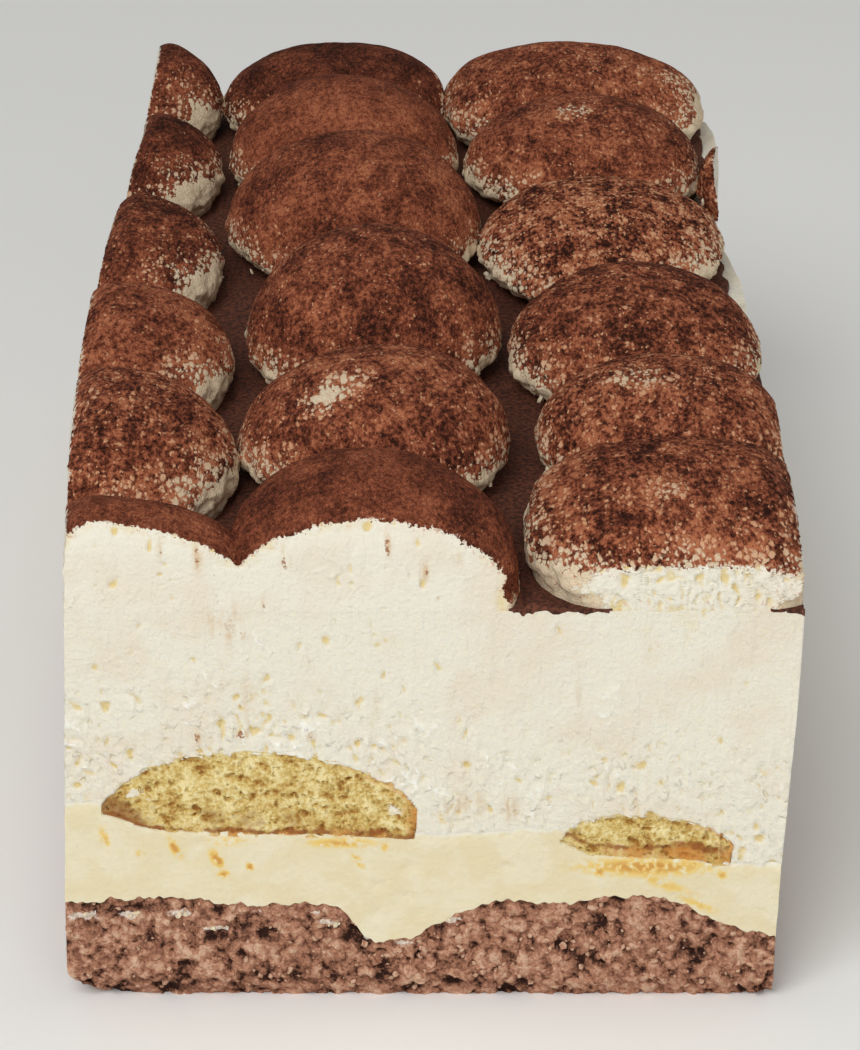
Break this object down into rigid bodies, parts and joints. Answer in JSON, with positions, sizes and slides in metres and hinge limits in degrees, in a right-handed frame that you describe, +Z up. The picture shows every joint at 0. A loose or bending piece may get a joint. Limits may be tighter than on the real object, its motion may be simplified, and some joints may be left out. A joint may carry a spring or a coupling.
{
  "type": "tiramisu portion",
  "caption": "Bar-shaped portion of layered tiramisu, cut on all four sides: chocolate sponge, custard, ladyfingers and cream under piped domes dusted with cocoa.",
  "frame": {"origin": "centre of the base, on the surface the portion stands on", "axes": "+Z up; +Y along the length, from the front cut that shows the layers towards the back cut; +X to the right seen from the front"},
  "size_m": [0.0809, 0.162, 0.0623],
  "materials": {
    "chocolate_sponge": "coarse torn crumb of a mid-brown chocolate sponge, matte",
    "custard": "smooth pale yellow custard, soft satin",
    "cream": "whipped mascarpone cream, ivory, with small air pits and drag marks",
    "ladyfinger": "open yellow crumb with a brown baked base, matte",
    "cocoa_dusted_cream": "piped cream dusted with dry cocoa powder, cream showing low on its flanks"
  },
  "bodies": {
    "root": {"chocolate_sponge": "chocolate_sponge", "custard_layer": "custard", "cream_layer": "cream", "ladyfinger_left": "ladyfinger", "ladyfinger_right": "ladyfinger", "cream_dome_left_1": "cocoa_dusted_cream", "cream_dome_left_2": "cocoa_dusted_cream", "cream_dome_left_3": "cocoa_dusted_cream", "cream_dome_left_4": "cocoa_dusted_cream", "cream_dome_left_5": "cocoa_dusted_cream", "cream_dome_left_6": "cocoa_dusted_cream", "cream_dome_middle_1": "cocoa_dusted_cream", "cream_dome_middle_2": "cocoa_dusted_cream", "cream_dome_middle_3": "cocoa_dusted_cream", "cream_dome_middle_4": "cocoa_dusted_cream", "cream_dome_middle_5": "cocoa_dusted_cream", "cream_dome_middle_6": "cocoa_dusted_cream", "cream_dome_right_1": "cocoa_dusted_cream", "cream_dome_right_2": "cocoa_dusted_cream", "cream_dome_right_3": "cocoa_dusted_cream", "cream_dome_right_4": "cocoa_dusted_cream", "cream_dome_right_5": "cocoa_dusted_cream", "cream_dome_right_6": "cocoa_dusted_cream", "cream_dome_edge_1": "cocoa_dusted_cream"}
  },
  "joints": []
}
